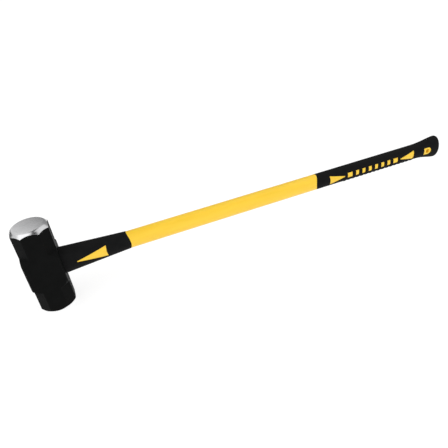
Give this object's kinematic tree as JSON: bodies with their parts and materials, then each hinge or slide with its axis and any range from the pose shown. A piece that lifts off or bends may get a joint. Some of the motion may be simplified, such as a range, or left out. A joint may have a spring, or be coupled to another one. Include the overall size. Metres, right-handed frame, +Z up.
{
  "type": "sledgehammer",
  "caption": "Long-handled sledgehammer: double-faced steel head, moulded fibreglass handle, rubber overstrike guard and ribbed rubber grip with a flared pommel.",
  "frame": {"origin": "centre of the lower striking face of the head", "axes": "+Z up the head to the bright striking face, +X along the handle to the pommel, +Y across the head to its far cheek"},
  "size_m": [0.9007, 0.0604, 0.168],
  "materials": {
    "painted_steel": "satin black paint on forged steel; both striking faces and their edge breaks are bare ground steel",
    "epoxy_resin": "cast epoxy, slightly glossy",
    "glass_fibre": "pultruded glass fibre, sawn end",
    "yellow_plastic": "smooth moulded polypropylene, soft gloss",
    "black_rubber": "matt moulded thermoplastic rubber"
  },
  "bodies": {
    "root": {"head": "painted_steel", "eye_resin": "epoxy_resin", "fibreglass_core": "glass_fibre", "handle_jacket": "yellow_plastic", "overstrike_guard": "black_rubber", "grip": "black_rubber"}
  },
  "joints": []
}
